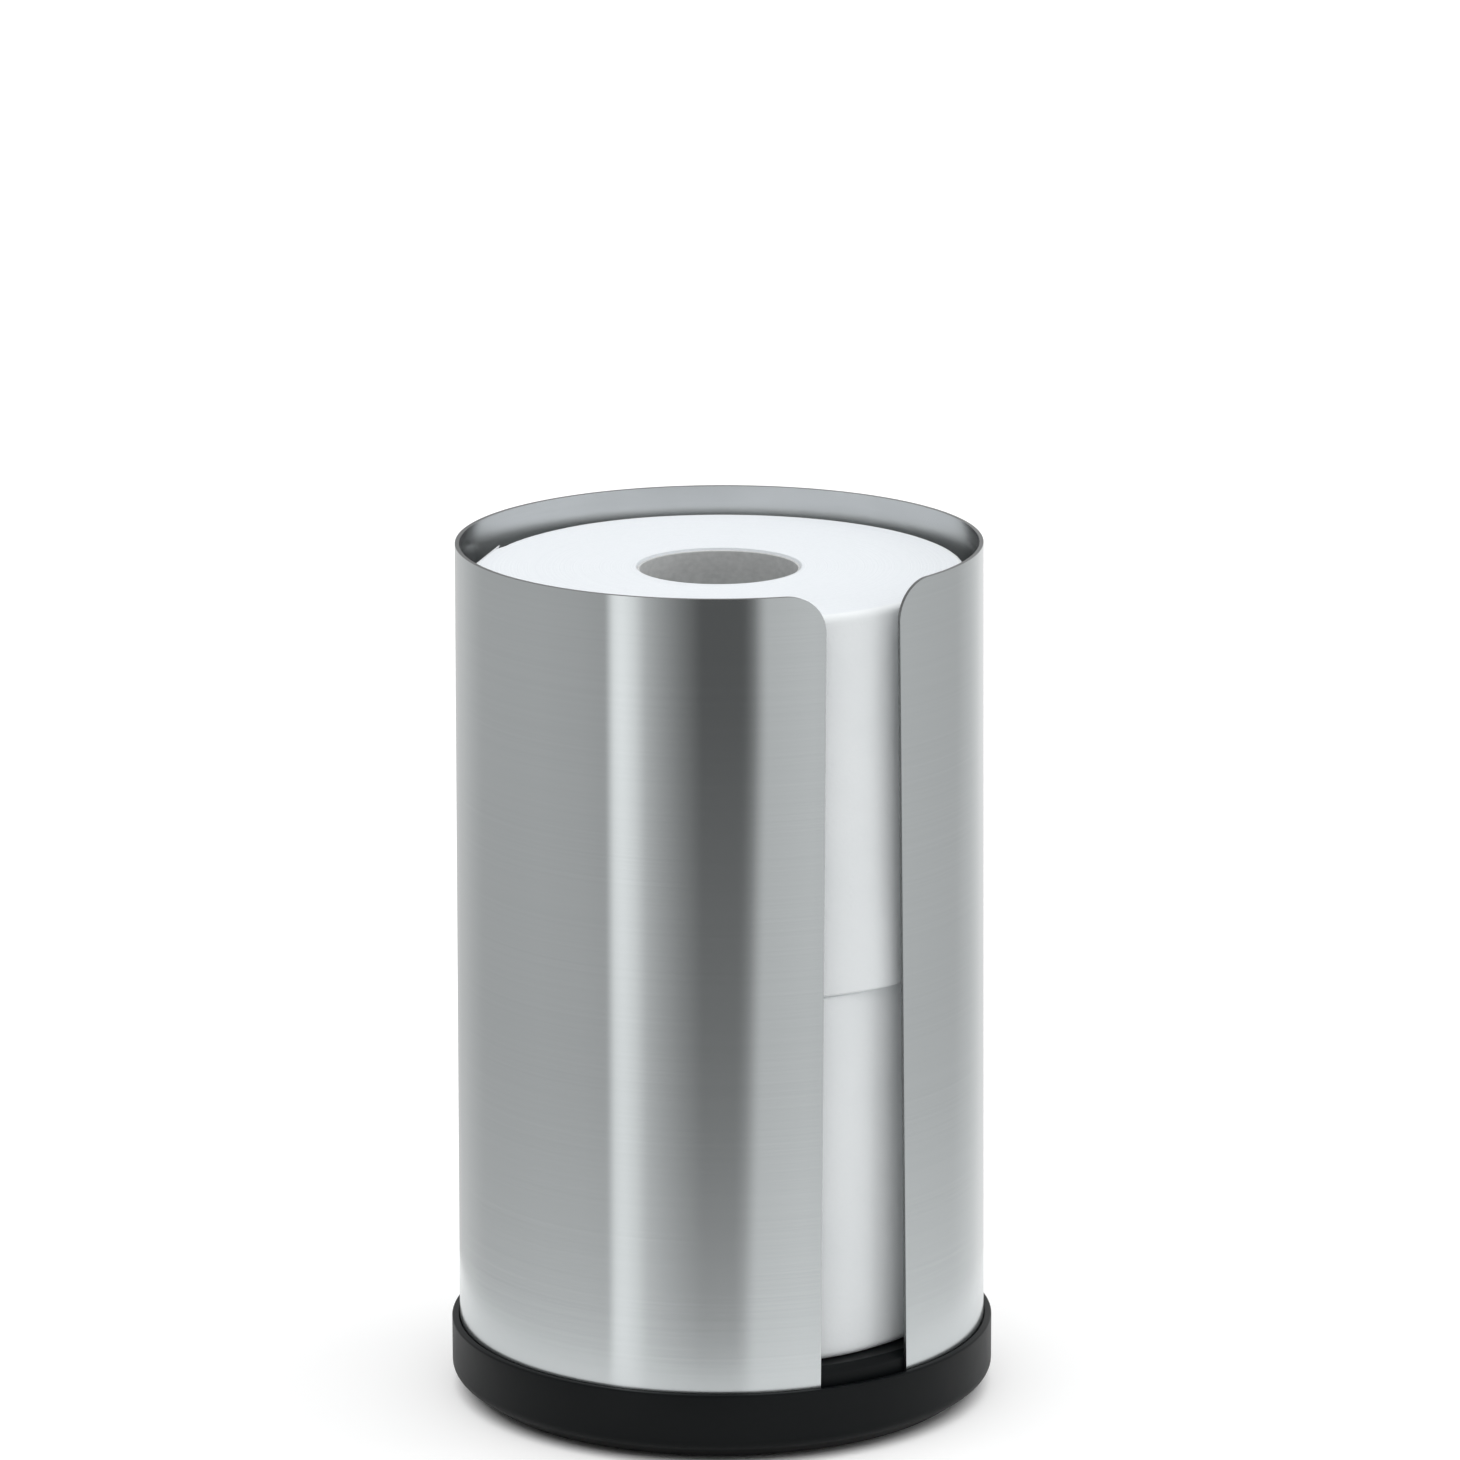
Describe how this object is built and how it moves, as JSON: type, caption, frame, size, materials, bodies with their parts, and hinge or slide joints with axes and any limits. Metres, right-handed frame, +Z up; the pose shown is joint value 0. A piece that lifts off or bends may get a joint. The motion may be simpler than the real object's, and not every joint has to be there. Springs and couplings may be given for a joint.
{
  "type": "toilet roll holder",
  "caption": "Free-standing slotted steel sleeve in a round black base that stores stacked toilet rolls; a roll is gripped through the slot and lifted out of the top.",
  "frame": {"origin": "middle of the plane that the feet stand on, on the axis of the base and sleeve", "axes": "+Z up along the sleeve, -Y the front; the slot faces 32.5 degrees from the front towards +X"},
  "size_m": [0.135, 0.135, 0.2153],
  "materials": {
    "base_plastic": "matte",
    "steel": "satin",
    "foot_rubber": "matte",
    "tissue": "matte",
    "core_card": "matte"
  },
  "bodies": {
    "holder": {"base": "base_plastic", "sleeve": "steel", "foot_front": "foot_rubber", "foot_right": "foot_rubber", "foot_rear": "foot_rubber", "foot_left": "foot_rubber"},
    "lower_roll": {"lower_roll_core": "core_card", "lower_roll_paper": "tissue"},
    "upper_roll": {"upper_roll_core": "core_card", "upper_roll_paper": "tissue"}
  },
  "joints": [
    {"name": "lower_roll_lift", "type": "slide", "parent": "holder", "child": "lower_roll", "axis": [0, 0, 1], "range_m": [0, 0.2]},
    {"name": "upper_roll_lift", "type": "slide", "parent": "lower_roll", "child": "upper_roll", "axis": [0, 0, 1], "range_m": [0, 0.11]}
  ]
}
